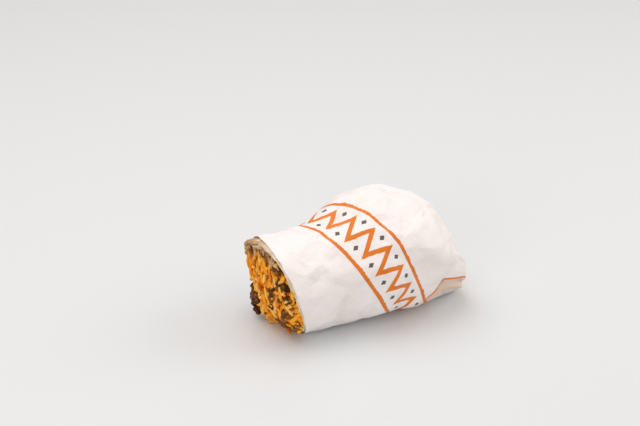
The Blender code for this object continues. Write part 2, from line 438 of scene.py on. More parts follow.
# %% The paper's grid
COLUMNS = 300
SEAM, NEAR_FLAP, FAR_FLAP, STEP = 30.0, 205.0, 335.0, 0.25
FAR_LATER = 4.0
FLAP_X = (73, 75.6, 79, 83, 85.3, 94, 106, 112)
FLAP_TURN = (232, 219, 210, 201, 189, 188, 182, 180)
base = np.linspace(SEAM, SEAM + 360, COLUMNS, endpoint=False)
near_column, far_column = (int(np.argmin(abs(base - turn))) for turn in (NEAR_FLAP, FAR_FLAP))
base[near_column : near_column + 2] = NEAR_FLAP, NEAR_FLAP + STEP
base[far_column - 1 : far_column + 1] = FAR_FLAP - STEP, FAR_FLAP
base[-1] = SEAM + 360 - STEP

body_x = np.linspace(0, END_START, 108, endpoint=False)
end_x = END_START + (ROLL_LENGTH - END_START) * np.sin(np.linspace(0, 0.985, 74) * pi / 2)
row_x = np.concatenate((body_x, end_x))[:, None]


def flap_edge(x):
    """Angle, in degrees, of the end flap's free edge: up from the floor, then along the end."""
    return np.interp(x, FLAP_X, FLAP_TURN)


def pull(turn, reach):
    """1 on the column at that turn, falling evenly to 0 at reach degrees from it."""
    return np.clip(1 - abs(base - turn) / reach, 0, 1)


lap_wander = 5 * np.sin(row_x / 26)
degrees = base + pull(NEAR_FLAP, 60) * (flap_edge(row_x) - NEAR_FLAP)
degrees = degrees + pull(FAR_FLAP, 45) * (180 - flap_edge(row_x - FAR_LATER) - (FAR_FLAP - 360))
degrees = degrees + (pull(SEAM, 50) + pull(SEAM + 360, 50)) * lap_wander
sheet_angle = np.radians(degrees)

rim_ring = np.stack((np.cos(sheet_angle[0]), np.sin(sheet_angle[0]), 0 * base), -1) * 30
edge = wall(0.0, sheet_angle[0])
ragged = 0.8 * lumps(rim_ring, 14, 1) + 0.35 * lumps(rim_ring, 4, 2)
start_x = knife(edge[:, 1], edge[:, 2]) + ragged
sheet_x = row_x + start_x * np.clip(1 - row_x / 40, 0, 1)
sheet_v = np.mod(sheet_angle * ROUND, GIRTH)
print("paper grid", sheet_x.shape, "flap columns", near_column, far_column)

# %% [markdown]
# Each flap's free edge stands out a little and the layer below it lies deeper, and the outer layer
# of the lap has its own thickness. Near the cut the sheet hugs the tortilla, apart from its rim,
# which stands a little loose.

# %% The paper's surface
column = np.arange(COLUMNS)


def end_flap(x, past_edge, under):
    """0.7 mm out along the edge, fading in 7 degrees, and 1.4 mm in where the flap doesn't reach."""
    lip = np.exp(-np.maximum(-past_edge, 0) / 7) * ~under
    sunk = under * (1 - smooth(past_edge, 45, 60))
    return smooth(x, 73, 80) * 0.7 * lip - smooth(x, 73, 77) * 1.4 * sunk


def both_flaps():
    """The near flap, and the far one as its mirror image, 4 mm further along."""
    near = end_flap(row_x, degrees - flap_edge(row_x), column > near_column)
    at_far = column > near_column + 60
    past_edge = 180 - (degrees - 360) - flap_edge(row_x - FAR_LATER)
    far = end_flap(row_x - FAR_LATER, past_edge, at_far & (column < far_column))
    return near + np.where(at_far, far, 0)


def sheet_height():
    """Panels of two sizes, creases, both flaps and the lap's step, in mm out of the wall."""
    large = panels(sheet_x, sheet_v, 16, 0.34, 2.1, 7)
    small = panels(sheet_x, sheet_v, 7.5, 0.36, 1, 11)
    gathered = 0.62 + 0.6 * smooth(sheet_x, 55, 100) + 0.1 * (1 - smooth(sheet_x, -8, 12))
    creased = sum(crown(sheet_x, sheet_v, *crease) for crease in CREASES)
    height = soften(large + 1.4 * creased, 2) + gathered * soften(small, 1)
    height = height + both_flaps() + 0.7 * np.exp(-np.radians(base - SEAM) * ROUND / 25)
    from_cut = sheet_x - start_x
    height = np.maximum(height, -0.3 - 3 * smooth(from_cut, 7, 22))
    height = height * (0.25 + 0.75 * smooth(from_cut, 0, 16))
    loose = 0.3 + 0.35 * lumps(rim_ring, 22, 5)
    height = height + loose * (1 - smooth(from_cut, 0, 14))
    height = np.where(height > 0.8, 0.8 + 1.2 * np.tanh((height - 0.8) / 1.2), height)
    return height * smooth(ROLL_LENGTH - sheet_x, 0, 5)


sheet = wall(sheet_x, sheet_angle)
sheet = sheet + outward(sheet) * sheet_height()[..., None]
sheet[..., 2] = np.maximum(sheet[..., 2], 0.05)
print("paper height", round(float(sheet[..., 2].max()), 1), "mm")

# %% [markdown]
# The sheet gets a second face a quarter of a millimetre further in, joined at the cut, so that its
# edge shows. A Solidify modifier would do the same everywhere; here the inner face is coarser and
# keeps further away deeper in, where nobody sees it. The print follows the sheet, so the piece has a
# UV map: X along the roll, and the real distance round it, counted from the middle of the print.

# %% The paper's mesh and map
UV_SPAN, UV_X, UV_V = 260.0, 20.0, 130.0
PRINT_TURN = 128.0
FAR_AWAY = 40.0


def unwrap(piece, u, v, girth):
    """Write a UV map in shares of UV_SPAN. Faces across the seam use the distance past it."""
    mesh = piece.data
    corner = np.zeros(len(mesh.loops), int)
    mesh.loops.foreach_get("vertex_index", corner)
    sizes = np.zeros(len(mesh.polygons), int)
    mesh.polygons.foreach_get("loop_total", sizes)
    starts = np.concatenate(([0], np.cumsum(sizes)[:-1]))
    across = v[corner]
    widest = np.repeat(np.maximum.reduceat(across, starts), sizes)
    around = girth[corner]
    across = np.where(widest - across > around / 2, across + around, across)
    layer = mesh.uv_layers.new(name="print")
    pairs = np.stack(((u[corner] + UV_X) / UV_SPAN, (across + UV_V) / UV_SPAN), -1)
    layer.data.foreach_set("uv", pairs.astype(np.float32).ravel())


inner_rows = np.array([0, 2, 5, 9, 14, 22, 34, 50, 70, 90, 108, 124, 138, 150, 160, 168, 174])
behind_rim = 0.25 + 2.3 * smooth(row_x, 3, 20) * (1 - smooth(row_x, 100, 110))
inner = (sheet - behind_rim[..., None] * outward(sheet))[inner_rows]
inner[..., 2] = np.maximum(inner[..., 2], 0.3)
tips = ((ROLL_LENGTH - 1.5, 0, 1.2), (ROLL_LENGTH, 0, 0.5))
paper = closed_surface("paper", np.concatenate((inner[::-1], sheet)), *tips)

# The distance along each row from the print's middle, negative before it, and all the way round.
steps = np.linalg.norm(np.roll(sheet, -1, 1) - sheet, axis=-1)
length = np.pad(np.cumsum(steps, 1), ((0, 0), (1, 0)))
print_column = int(np.argmin(abs(base - PRINT_TURN)))
v = length[:, :-1] - length[:, print_column : print_column + 1]
girth = np.repeat(length[:, -1:], COLUMNS, 1)
past_edge = v - v[:, near_column : near_column + 1]
# Painted shade: the layer under the near flap is darkened near the flap's edge, fading out 14 to 22 mm
# from it.
under_flap = (column > near_column) * smooth(row_x, 73, 77) * (1 - smooth(past_edge, 14, 22))
from_edge = np.where(row_x < 75.6, FAR_AWAY * np.where(past_edge < 0, -1, 1), past_edge)


def all_rows(values, at_tips):
    """The values of the outer rows, given to the inner rows as well, and those at both tips."""
    return np.append(np.concatenate((values[inner_rows][::-1], values)), (at_tips, at_tips))


unwrap(paper, all_rows(sheet_x, ROLL_LENGTH), all_rows(v, 0), all_rows(girth, 1))
paint(paper, "from_edge", all_rows(from_edge, FAR_AWAY))
paint(paper, "under_flap", all_rows(under_flap, 0))
print("girth of the sheet", girth.min().round(), "to", girth.max().round(), "mm")

# %% [markdown]
# The print is a plain folk band of the colours that such papers have: a zigzag between two brushed
# lines, with a dark lozenge in each bend, wound aslant round the roll. An image would be quick but
# turns soft close up. Here it is arithmetic on the UV map, in mm, with a little noise for the brush's
# rough edge.

# %% The paper's print
BAND_X, BAND_AT = 42.0, radians(68)
PERIOD, SWING, STROKE = 14.0, 5.6, 1.3
LINE_AT, LOZENGE_AT = 11.5, 6.2

printed = Finish("printed paper", Roughness=0.5, Specular_IOR_Level=0.3)
split = printed.node("ShaderNodeUVMap", {"uv_map": "print"})
split = printed.node("ShaderNodeSeparateXYZ", None, split)
along = split * UV_SPAN - UV_X
across = Wire(printed, split.socket.node.outputs[1]) * UV_SPAN - UV_V
rough_edge = printed.noise(4, 4, 0.65) - 0.5
down_band = (along - BAND_X) * cos(BAND_AT) + across * sin(BAND_AT)
over_band = across * cos(BAND_AT) - (along - BAND_X) * sin(BAND_AT) + rough_edge * 1.5


def inked(inside):
    """1 where inside is above 0 mm, with an edge a quarter of a millimetre soft."""
    return inside.step(-0.12, 0.12)


def lozenges(shift, middle):
    """Ink where the distances along and over the band from a bend add up to less than 1.6 mm."""
    beside = (down_band + shift).math("WRAP", PERIOD / 2, -PERIOD / 2)
    return inked(STROKE - abs(beside) * 0.8 - abs(over_band - middle) * 0.8)


tooth = (down_band + rough_edge).math("PINGPONG", PERIOD / 2) * (4 * SWING / PERIOD) - SWING
zigzag = inked(STROKE - abs(over_band - tooth) * (1 / hypot(1, 4 * SWING / PERIOD)))
brushed = inked(0.95 + rough_edge * 0.9 - abs(abs(over_band) - LINE_AT))
border = inked(0.7 - abs(printed.stored("from_edge") + 1.0) + rough_edge * 0.3)
dark_ink = lozenges(0, LOZENGE_AT).most(lozenges(PERIOD / 2, -LOZENGE_AT))
print("print band", 2 * LINE_AT, "mm wide, a bend each", PERIOD / 2, "mm")

# %% [markdown]
# White paper on greasy food isn't plain: it is creamier and a little clearer where the fat has
# soaked in, along the cut and in patches over the top, and its surface has a fine tooth.

# %% The paper's colour
orange = printed.blend(printed.noise(9, 2), (0.70, 0.165, 0.012), (0.80, 0.235, 0.02))
by_the_cut = 1 - along.step(-4.0, 14.0)
on_top = 1 - abs((along - 38) / 30).step(0.3, 1.0)
on_top = on_top * (1 - abs((across + 27) / 16).step(0.3, 1.0))
soaked = printed.noise(14, 4, 0.6).step(0.44, 0.62) * on_top.most(by_the_cut * 0.7).most(0.22)
speck = printed.noise(8, 3, 0.6).step(0.66, 0.76)
white = printed.blend(printed.noise(30, 3), (0.90, 0.87, 0.855), (0.87, 0.825, 0.805))
white = printed.blend(soaked * 0.38, white, (0.84, 0.74, 0.61))
# Painted shade under the near flap, with a warm tint of painted bounce light.
white = printed.blend(printed.stored("under_flap") * 0.75, white, (0.77, 0.55, 0.39))
white = printed.blend(speck * 0.22, white, (0.62, 0.55, 0.46))
colour = printed.blend(zigzag.most(brushed).most(border), white, orange)
colour = printed.blend(dark_ink * 0.92, colour, (0.045, 0.040, 0.042))


def facets(size, rise):
    """Height in mm over flat facets: the distance from the edges of random cells, times rise."""
    settings = {"feature": "DISTANCE_TO_EDGE"}
    cells = printed.node("ShaderNodeTexVoronoi", settings, printed.place, None, 1000 / size)
    return cells * (size * rise)


crumple = facets(30, 0.14) - facets(15, 0.12) + facets(7.5, 0.05)
crumple = crumple + abs(printed.noise(20, 1.5, 0.45) - 0.5) * 3.0
crumple = crumple + printed.noise(5, 2) * 0.25 + printed.noise(0.9, 3, 0.6) * 0.06
printed.surface(colour, 0.55 - soaked * 0.22, crumple, 1.0)
belongs(paper, printed, "paper", "paper_wrap")

# %% [markdown]
# The tortilla is a sheet too, but a thick one. It goes once round and laps over itself on the far
# upper side, so the cut shows one layer nearly everywhere and two there. Each column of the grid is
# one long loop: back along the outside, over the cut edge, and forward along the inside.

# %% The tortilla's surface
LAP_START, LAP_REACH = radians(10), radians(95)
turns = np.linspace(0, 2 * pi + LAP_REACH, 250)
tortilla_turn = LAP_START + turns
far = np.maximum(0, np.cos(tortilla_turn - radians(35))) ** 2
thickness = (1.25 + 0.9 * far) * np.minimum(1, np.minimum(turns, turns[-1] - turns) / 0.12 + 0.12) ** 0.6
under = smooth(turns, 2 * pi - 0.3, 2 * pi + 0.02)
outer_inset = 0.4 + 2.4 * under
ring = np.stack((np.cos(tortilla_turn), np.sin(tortilla_turn), turns / 9), -1) * 28
thickness = thickness * (1 + 0.25 * lumps(ring, 13, 21))
outer_inset = outer_inset + 0.15 * lumps(ring, 9, 22)

edge_spot = wall(0.0, tortilla_turn, outer_inset)
torn = (0.3 + 1.5 * far) * lumps(ring, 7, 23) + (0.3 + 1.0 * far) * lumps(ring, 2.6, 24)
edge_x = knife(edge_spot[:, 1], edge_spot[:, 2]) - 0.2 - 5.3 * far - torn + 0.8 * under
back_x = np.concatenate(([0, 0.8, 1.8, 3.2, 5, 8], np.arange(12, 100, 6.5), [101, 104, 106.5]))[:, None]
RIM_TURN = np.linspace(0, pi, 9)[1:-1]


def tortilla_side(inset):
    """One face of the sheet: the wall at that inset, deeper behind the cut, to the closed end."""
    x = back_x + edge_x * np.clip(1 - back_x / 34, 0, 1)
    tip = np.clip((x - END_START) / (ROLL_LENGTH - END_START), 0, 1)
    inset = inset + 3.2 * smooth(back_x, 6, 18)
    return wall(x - inset * tip, np.broadcast_to(tortilla_turn, x.shape), inset)


outside = tortilla_side(outer_inset)
inside = tortilla_side(outer_inset + thickness)
centre, half = (outside[0] + inside[0]) / 2, (outside[0] - inside[0]) / 2
bulge = np.sin(RIM_TURN)[:, None]
rim = centre + half * np.cos(RIM_TURN)[:, None, None]
rim[..., 0] -= 0.7 * bulge * (thickness / 2)
rim[..., 0] += bulge * (0.35 + 0.4 * far) * lumps(rim, 1.7, 25)
loops = np.concatenate((outside[::-1], rim, inside))
count, columns = loops.shape[:2]
first = np.arange(count // 2)
last = count - 1 - first
side = np.stack((first[:-1], last[:-1], last[1:], first[1:]), -1) * columns
open_quads = quads(count, columns).reshape(-1, columns, 4)[:, :-1].reshape(-1, 4)
faces = np.concatenate((open_quads, side, side[:, ::-1] + columns - 1))
faces = faces if turned_out(loops, faces) else faces[:, ::-1]
tortilla = new_mesh("tortilla_sheet", loops, faces.tolist())
cut_share = np.zeros((count, columns))
cut_share[len(outside) - 1 : len(outside) + len(RIM_TURN) + 1] = 1
paint(tortilla, "cut_edge", cut_share)
paint(tortilla, "toast", np.broadcast_to(far, (count, columns)))
print("tortilla", round(float(thickness.max()), 1), "mm thick at most")

# %% [markdown]
# Wheat tortilla is pale and matt, with toasted brown spots where it blistered on the griddle, and
# its cut edge is whiter and moister than its skin. A little light goes into it, which the subsurface
# numbers on the shader give.

# %% The tortilla's finish
dough = Finish(
    "griddled tortilla", Roughness=0.6, Specular_IOR_Level=0.2,
    Subsurface_Weight=0.15, Subsurface_Radius=(0.004, 0.002, 0.001), Subsurface_Scale=0.3
)
toast = dough.stored("toast")
pale = dough.blend(dough.noise(8, 3), (0.86, 0.75, 0.57), (0.78, 0.64, 0.43))
pale = dough.blend(toast * 0.7, pale, (0.66, 0.46, 0.24))
blistered = (dough.noise(6, 4, 0.62) + toast * 0.2).step(0.52, 0.68)
crust = dough.blend(blistered * 0.8, pale, (0.34, 0.18, 0.07))
crumb = dough.blend(dough.noise(2.2, 3).step(0.3, 0.7), (0.62, 0.44, 0.26), (0.88, 0.77, 0.60))
crumb = dough.blend(toast * 1.3, crumb, (0.52, 0.34, 0.16))
browned = (dough.noise(4, 3) + toast * 0.25).step(0.62, 0.78)
crumb = dough.blend(browned * 0.7, crumb, (0.40, 0.22, 0.09))
colour = dough.blend(dough.stored("cut_edge"), crust, crumb)
dough.surface(colour, dough.noise(3, 2) * 0.25 + 0.42, dough.noise(1.6, 4, 0.6), 0.5)
belongs(tortilla, dough, "tortilla", "tortilla")

# %% [markdown]
# The filling was squeezed into a cylinder and then cut, so its front slopes, is domed and has a
# hollow low at the far side. Whatever is put there has to stay within the wrap behind the knife's
# plane, and its foot is a little drawn back. Two functions say so, and every piece uses them.

# %% The filling's front
FILL_HEIGHT = 27.6
FRONT_HALF = 24.0


def two_layers(angle):
    """1 where the tortilla laps over itself, 0 elsewhere."""
    past = np.mod(angle - LAP_START + 1.0, 2 * pi) - 1.0
    return smooth(past, -0.5, 0.05) * (1 - smooth(past, LAP_REACH - 0.15, LAP_REACH + 0.1))


def soft_radius(y, z):
    """(|y|**p + |z|**p)**(1/p), with the wall's own squareness p."""
    return (np.abs(y) ** SQUARENESS + np.abs(z) ** SQUARENESS) ** (1 / SQUARENESS)


def front(y, z):
    """X of the filling's front: a slope over Y and Z, a dome of 1 - r**3, and two hollows, e**(-d*d)
    deep, low at the far side."""
    out = np.minimum(soft_radius(y / FRONT_HALF, (z - FILL_HEIGHT) / FRONT_HALF), 1)
    hollow = 3.6 * np.exp(-(((y - 22) / 7) ** 2) - ((z - 19) / 9) ** 2)
    hollow = hollow + 2.0 * np.exp(-(((y - 24) / 6) ** 2) - ((z - 28) / 6) ** 2)
    return -5.7 - 0.18 * y - 0.05 * (z - 28.5) - 2.5 * (1 - out**3) + hollow


def pressed(points):
    """Behind the knife's plane, points past the wall's soft radius of 1 go back onto it. Before the
    plane, points near the foot go back towards it, but never behind the front."""
    x, y, z = np.moveaxis(points, -1, 0)
    behind = x - knife(y, z)
    inset = 1.7 + 3.4 * smooth(behind, 3, 15) + 2.2 * two_layers(np.arctan2(z - FILL_HEIGHT, y))
    wide, high = (half - inset for half in half_size(x))
    centre = high + inset - PRESSED_FLAT
    past = soft_radius(y / wide, (z - centre) / high)
    shrink = 1 + (1 / np.maximum(past, 1) - 1) * smooth(behind, -2.5, 0)
    foot = np.maximum(9 - 0.35 * y, 3)
    share = 0.9 * np.clip((foot - z) / (foot - 2), 0, 1) ** 1.3 * (1 - smooth(y, 1, 6))
    x = x + share * np.clip(-behind, 0, np.maximum(knife(y, z) - front(y, z) - 2.2, 0))
    return np.stack((x, y * shrink, np.maximum(centre + (z - centre) * shrink, 0.6)), -1)


print("front from near to far:", front(np.array((-20, 0, 20)), FILL_HEIGHT).round(1))

# %% [markdown]
# The filling's skin is a grid again: rings from the middle of the front out to its rounded edge,
# then back inside the tortilla. At the foot it has slumped out over the tortilla's edge. A core
# just under the skin fills the gaps between the loose pieces, and its dark colour is painted shade.

# %% The filling's skin
FILL_COLUMNS, FLAT_ROWS = 120, 12
MIDDLE = np.array((0, 0, FILL_HEIGHT))
fill_angle = np.linspace(0, 2 * pi, FILL_COLUMNS, endpoint=False)
fill_inset = 2.6 + 2.2 * two_layers(fill_angle)
fill_edge = wall(0.0, fill_angle, fill_inset)
rounding = 1 - 0.2 * np.cos(np.linspace(0.15, 1, 10) * pi / 2)
share = np.concatenate((np.linspace(0.06, 0.8, FLAT_ROWS), rounding))
front_rows = MIDDLE + (fill_edge - MIDDLE) * share[:, None, None]
corner_drop = 4.0 * (1 - np.sqrt(np.maximum(1 - ((share - 0.7) / 0.3).clip(0, 1) ** 2, 0)))
front_rows[..., 0] = front(front_rows[..., 1], front_rows[..., 2]) + corner_drop[:, None]
back = np.concatenate((np.linspace(0.06, 1, 14), np.linspace(1.2, 2, 6)))[:, None]
side_x = front_rows[-1, :, 0] * (1 - back) + back * 14
deeper = fill_inset + 1.0 * smooth(back, 0, 0.4) + 4.2 * smooth(back, 0.3, 1.2)
side_rows = wall(side_x, np.broadcast_to(fill_angle, side_x.shape), deeper)
skin = np.concatenate((front_rows, side_rows))

rim_x = knife(fill_edge[:, 1], fill_edge[:, 2]) - 1.0
past_rim = np.clip((rim_x - skin[..., 0]) / 10, 0, 1)
low = np.clip((22 - skin[..., 2]) / 20, 0, 1)
skin[..., 1:] += (skin[..., 1:] - MIDDLE[1:]) * (0.05 * np.sin(past_rim * pi))[..., None]
skin[..., 2] -= 0.8 * past_rim * low
skin_normal = outward(skin)
skin_normal[:FLAT_ROWS] = (-1, 0, 0)
fade = np.concatenate((np.ones((len(front_rows), 1)), np.clip(1.6 - back, 0, 1)))
skin = skin + skin_normal * (fade * (1.1 * lumps(skin, 9, 31) + 0.6 * lumps(skin, 4, 32)))[..., None]
skin[..., 2] = np.maximum(skin[..., 2], 3.0)

core_x = np.array((40.0, 60.0, 80.0, 98.0))[:, None]
core_rows = pressed(skin - skin_normal * 1.7)
behind = wall(*np.broadcast_arrays(core_x, fill_angle), fill_inset + 5.6 + 0.03 * core_x)
tip_x = core_rows[0, :, 0].mean() - 0.2
core_rows = np.concatenate((core_rows, behind))
core = closed_surface("filling_core", core_rows, (tip_x, 0, FILL_HEIGHT), (102, 0, 12))

mash = Finish("filling core in painted shade", Roughness=0.4, Specular_IOR_Level=0.15)
# Painted shade: the core is far darker than the rice, so that the gaps between the loose pieces look
# deep.
deep = mash.blend(mash.noise(4, 3), (0.22, 0.06, 0.005), (0.48, 0.15, 0.012))
mash.surface(deep, None, mash.noise(1.5, 3), 0.6)
belongs(core, mash, "filling", "rice_and_cheese")

# %% [markdown]
# Loose pieces are scattered over that skin: random places by area, thinned so that no two middles
# are too close, each with the skin's normal. Deeper layers come first, so that the top grains lie on
# others, as in a heap. Geometry nodes can scatter too, but here each grain must also bend to the wrap.

# %% Scattering
meats, onions = (
    [name for name in sorted(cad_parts) if name.startswith(kind)] for kind in ("meat_", "onion_")
)
chunk_middles, chunk_sizes = (np.array(x) for x in zip(*map(node_middle, meats)))
seen = skin[:24]  # the rows that show past the tortilla


def clear_of_chunks(points, slack):
    """True outside every chunk's ellipsoid, made slack times as large and drawn out to the front."""
    away = (points[:, None] - chunk_middles) / (chunk_sizes / 2 * slack)
    away[..., 0] *= np.where(away[..., 0] < 0, 0.35, 1)
    return (np.linalg.norm(away, axis=-1) > 1).all(1)


def spread(count, gap, seed, depth=0.0, slack=0.85):
    """Up to count places on the skin's visible rows, at least gap mm apart, depth mm below it."""
    draw = default_rng(seed)
    after = np.roll(seen, -1, 1)
    a, b, c, d = seen[:-1], after[:-1], seen[1:], after[1:]
    normals = np.cross(b - c, d - a)
    normals[:FLAT_ROWS] = (-1, 0, 0)
    area = np.linalg.norm(np.cross(b - a, c - a), axis=-1).ravel() + 1e-9
    pick = draw.choice(area.size, count * 6, p=area / area.sum())
    s, t = draw.random((2, count * 6, 1))
    a, b, c, d, normals = (x.reshape(-1, 3)[pick] for x in (a, b, c, d, normals))
    places = a * (1 - s) * (1 - t) + b * s * (1 - t) + c * (1 - s) * t + d * s * t
    normals = unit(normals)
    normals *= np.sign((normals * (places - MIDDLE - (8, 0, 0))).sum(1, keepdims=True))
    kept = []
    for k in np.flatnonzero(clear_of_chunks(places, slack)):
        if (np.linalg.norm(places[kept] - places[k], axis=1) > gap).all():
            kept.append(k)
    kept = kept[:count]
    return places[kept] - normals[kept] * depth, normals[kept], draw


def on_front(spots, out):
    """Places out mm before the filling's front at those Y and Z, and the normals there."""
    y, z = np.array(spots, float).T
    return np.stack((front(y, z) - out, y, z), -1), np.tile((-1.0, 0, 0), (len(y), 1))


def lying(normals, draw, tilt, upright=0.6):
    """Directions in the skin's plane, upright more often than not, tipped by up to tilt; and sides."""
    along = draw.normal(size=normals.shape)
    along[:, 2] += np.sign(along[:, 2]) * upright
    along = unit(along - normals * (along * normals).sum(1, keepdims=True))
    along = unit(along + normals * draw.uniform(-tilt, tilt, (len(normals), 1)))
    side = unit(np.cross(normals, along))
    return along, side, np.cross(along, side)


print(len(meats), "chunks of meat,", len(onions), "onion dice")

# %% [markdown]
# A grain of rice and a shred of cheese are one kind of shape: a short tube whose radius is a
# profile along its length, bent to one side. All of them are computed at once and joined.

# %% Grains and shreds
def joined(name, points):
    """One mesh of many small closed grids, each with a random tone on all its vertices."""
    count, rows, sides = points.shape[:3]
    step = rows * sides
    walls = quads(rows, sides)
    ends = np.stack((np.arange(sides)[::-1], np.arange(step - sides, step)))
    if not turned_out(points[0], walls):
        walls, ends = walls[:, ::-1], ends[:, ::-1]
    starts = np.arange(count)[:, None, None] * step
    faces = [face for part in (walls + starts, ends + starts) for one in part.tolist() for face in one]
    piece = new_mesh(name, points, faces)
    paint(piece, "tone", np.repeat(default_rng(count).random(count), step))
    return piece


def sticks(name, middles, normals, draw, lay, profile, sizes):
    """Tubes: middle + along*s*length/2 + side*bend*s*s + ring * profile, for s = -cos(t), t from 0 to
    pi. Sizes are the mean and spread of the length, the width, the thickness and the bend."""
    along, side, up = (f[:, None, None] for f in lying(normals, draw, *lay))
    length, width, thick, bend = (draw.normal(*size, (len(middles), 1, 1, 1)) for size in sizes)
    s = -np.cos(np.linspace(0, pi, len(profile)))[None, :, None, None]
    turn = np.linspace(0, 2 * pi, 7, endpoint=False)[None, None, :, None]
    path = middles[:, None, None] + along * s * length / 2 + side * bend * (s * s - 0.4)
    ring = side * np.cos(turn) * width / 2 + up * np.sin(turn) * thick / 2
    return joined(name, pressed(path + ring * np.reshape(profile, (-1, 1, 1))))


GRAIN = (0.12, 0.50, 0.84, 1.0, 1.0, 0.88, 0.55, 0.14)
SHRED = (0.3, 0.78, 0.95, 1.0, 0.9, 1.0, 1.06, 0.95, 0.75, 0.3)
layers = [spread(330, 2.6, 41, 1.5, 0.65), spread(300, 2.7, 42, 0.5, 0.75)]
foot_spots = np.stack((np.linspace(-10, 4, 22), default_rng(45).uniform(2.6, 6.0, 22)), -1)
layers.append(on_front(foot_spots, 1.3))
layers += [spread(175, 3.3, 43, -0.4, 0.7), spread(75, 4.6, 44, -1.5, 0.2)]
middles, normals = (np.concatenate([layer[k] for layer in layers]) for k in (0, 1))
draw = layers[0][2]
# Where the beef lies, three in four of the top grains are left out.
beefy = (middles[:, 1] < -8) | ((middles[:, 1] > 8) & (middles[:, 2] < 20)) | (middles[:, 2] > 46)
on_top = np.arange(len(middles)) >= sum(len(layer[0]) for layer in layers[:3])
kept = ~(beefy & on_top & (draw.random(len(middles)) < 0.75))
grain_sizes = ((6.9, 0.8), (2.25, 0.22), (1.95, 0.18), (0, 0.5))
rice = sticks("rice", middles[kept], normals[kept], draw, (0.45,), GRAIN, grain_sizes)
shred_sizes = ((8.5, 1.6), (3.0, 0.5), (1.8, 0.25), (0, 1.4))
cheese = sticks("cheese", *spread(42, 5.6, 51, -0.6, 0.8), (0.2,), SHRED, shred_sizes)

# %% [markdown]
# Rice cooked in tomato and spice is orange and a little clear, so light goes some way into it, and
# its grains differ. Melted cheese is yellower, smoother and glossier.

# %% Rice and cheese finishes
tomato = Finish(
    "tomato rice", Roughness=0.36, Specular_IOR_Level=0.16,
    Subsurface_Weight=0.25, Subsurface_Radius=(0.003, 0.0015, 0.0006), Subsurface_Scale=0.4
)
ORANGES = (
    (0.0, (0.62, 0.165, 0.004)), (0.35, (0.90, 0.31, 0.007)),
    (0.75, (0.97, 0.44, 0.02)), (1.0, (0.97, 0.61, 0.14)),
)
colour = tomato.node("ShaderNodeValToRGB", {"stops": ORANGES}, tomato.stored("tone"))
stain = tomato.noise(5, 3).step(0.5, 0.75)
colour = tomato.blend(stain * 0.55, colour, (0.40, 0.11, 0.008))
tomato.surface(colour, None, tomato.noise(1.2, 2), 0.12)
belongs(rice, tomato, "filling")

melted = Finish(
    "melted cheese", Roughness=0.3, Specular_IOR_Level=0.3,
    Subsurface_Weight=0.3, Subsurface_Radius=(0.004, 0.002, 0.0006), Subsurface_Scale=0.5
)
colour = melted.blend(melted.stored("tone"), (0.97, 0.38, 0.006), (0.98, 0.51, 0.03))
melted.surface(colour, None, melted.noise(2.5, 2), 0.25)
belongs(cheese, melted, "filling")

# %% [markdown]
# The beef was cut in strips and browned in a pan. A chunk could be sculpted or cut from a cube; here
# it is a rounded polyhedron: a few planes at random turns, blended by a high power, so that its sides
# are flat and its corners soft. Fine ridges along one direction stand for the meat's fibres.

# %% Meat chunks
def polyhedron(draw, rows, columns, power, extra, depths, many=()):
    """Points at 1/r**power = sum((d.n / h)**power) over planes with normal n at depth h: the six of a
    unit box, and extra ones at random turns, with depths between the two given."""
    tilt = np.linspace(0.12, pi - 0.12, rows)[:, None]
    spin = np.linspace(0, 2 * pi, columns, endpoint=False)
    d = np.stack((np.cos(tilt) + 0 * spin, np.sin(tilt) * np.cos(spin), np.sin(tilt) * np.sin(spin)), -1)
    box = np.broadcast_to(np.concatenate((np.eye(3), -np.eye(3))), (*many, 6, 3))
    normals = np.concatenate((box, unit(draw.normal(size=(*many, extra, 3)))), -2)
    depths = np.concatenate((np.ones((*many, 6)), draw.uniform(*depths, (*many, extra))), -1)
    facing = np.maximum(np.einsum("abk,...nk->...abn", d, normals), 0)
    return d * ((facing / depths[..., None, None, :]) ** power).sum(-1)[..., None] ** (-1 / power)


def with_fibres(points, grain, seed):
    """The surface pushed out by ridges that run along grain: noise of stretched places."""
    stretched = points - 0.8 * (points @ grain)[..., None] * grain
    ridges = 0.6 * lumps(stretched, 1.6, seed) + 0.4 * lumps(stretched, 0.8, seed + 1)
    broad = 0.7 * lumps(points, 3.6, seed + 2) + 0.35 * lumps(points, 1.9, seed + 3)
    return points + outward(points) * (0.45 * ridges + broad - 0.2)[..., None]


beef = Finish(
    "browned beef", Roughness=0.5, Specular_IOR_Level=0.09,
    Subsurface_Weight=0.08, Subsurface_Radius=(0.002, 0.0008, 0.0004), Subsurface_Scale=0.4
)
patches = beef.noise(5, 4, 0.6).step(0.3, 0.7)
browned = beef.blend(patches, (0.17, 0.046, 0.003), (0.42, 0.150, 0.022))
browned = beef.blend(beef.noise(2.6, 3).step(0.54, 0.66) * 0.6, browned, (0.46, 0.24, 0.09))
seared = (beef.noise(3.2, 4, 0.65) + beef.stored("tone") * 0.3).step(0.66, 0.82)
browned = beef.blend(seared * 0.9, browned, (0.045, 0.018, 0.005))
browned = beef.blend(beef.stored("ridge").step(0.42, 0.05) * 0.75, browned, (0.055, 0.016, 0.003))
beef.surface(browned, beef.noise(2.5, 3) * 0.35 + 0.25, beef.noise(0.8, 4, 0.65), 0.5)

